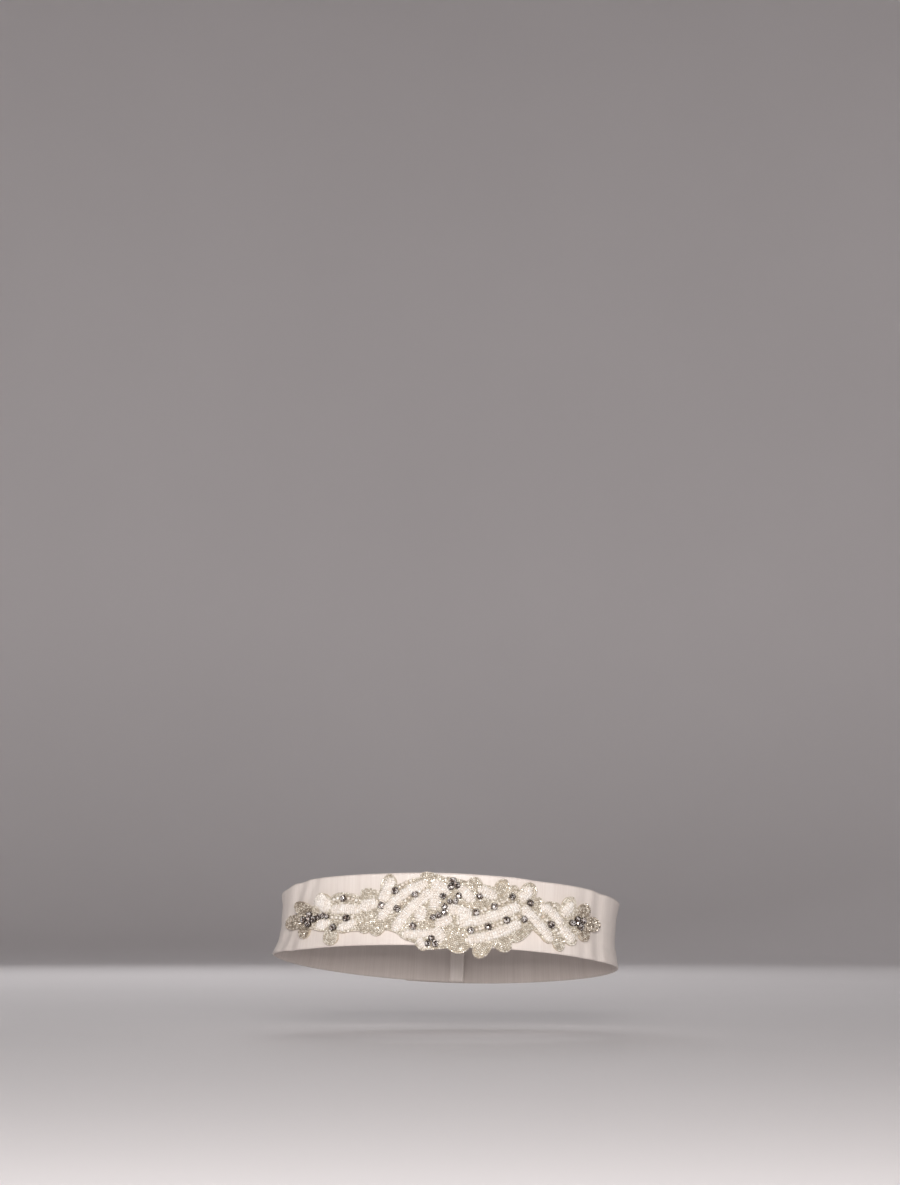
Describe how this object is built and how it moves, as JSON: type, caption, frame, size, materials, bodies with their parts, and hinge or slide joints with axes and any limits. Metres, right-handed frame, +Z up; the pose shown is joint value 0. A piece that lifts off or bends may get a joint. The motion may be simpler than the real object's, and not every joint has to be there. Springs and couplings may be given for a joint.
{
  "type": "bridal sash",
  "caption": "Satin ribbon sash as worn round a waist, with a beaded leaf-and-flower applique on the front and a hooked overlap at the back.",
  "frame": {"origin": "middle of the waist that the sash goes round, half-way up the ribbon", "axes": "+Z up, the wearer faces -Y, +X to the right of someone who looks at the wearer from the front"},
  "size_m": [0.2576, 0.2068, 0.0836],
  "materials": {
    "satin": "satin",
    "beadwork": "satin",
    "steel": "satin"
  },
  "bodies": {
    "root": {"ribbon": "satin", "applique": "beadwork", "hook_1": "steel", "hook_2": "steel", "bar_1": "steel", "bar_2": "steel"}
  },
  "joints": []
}
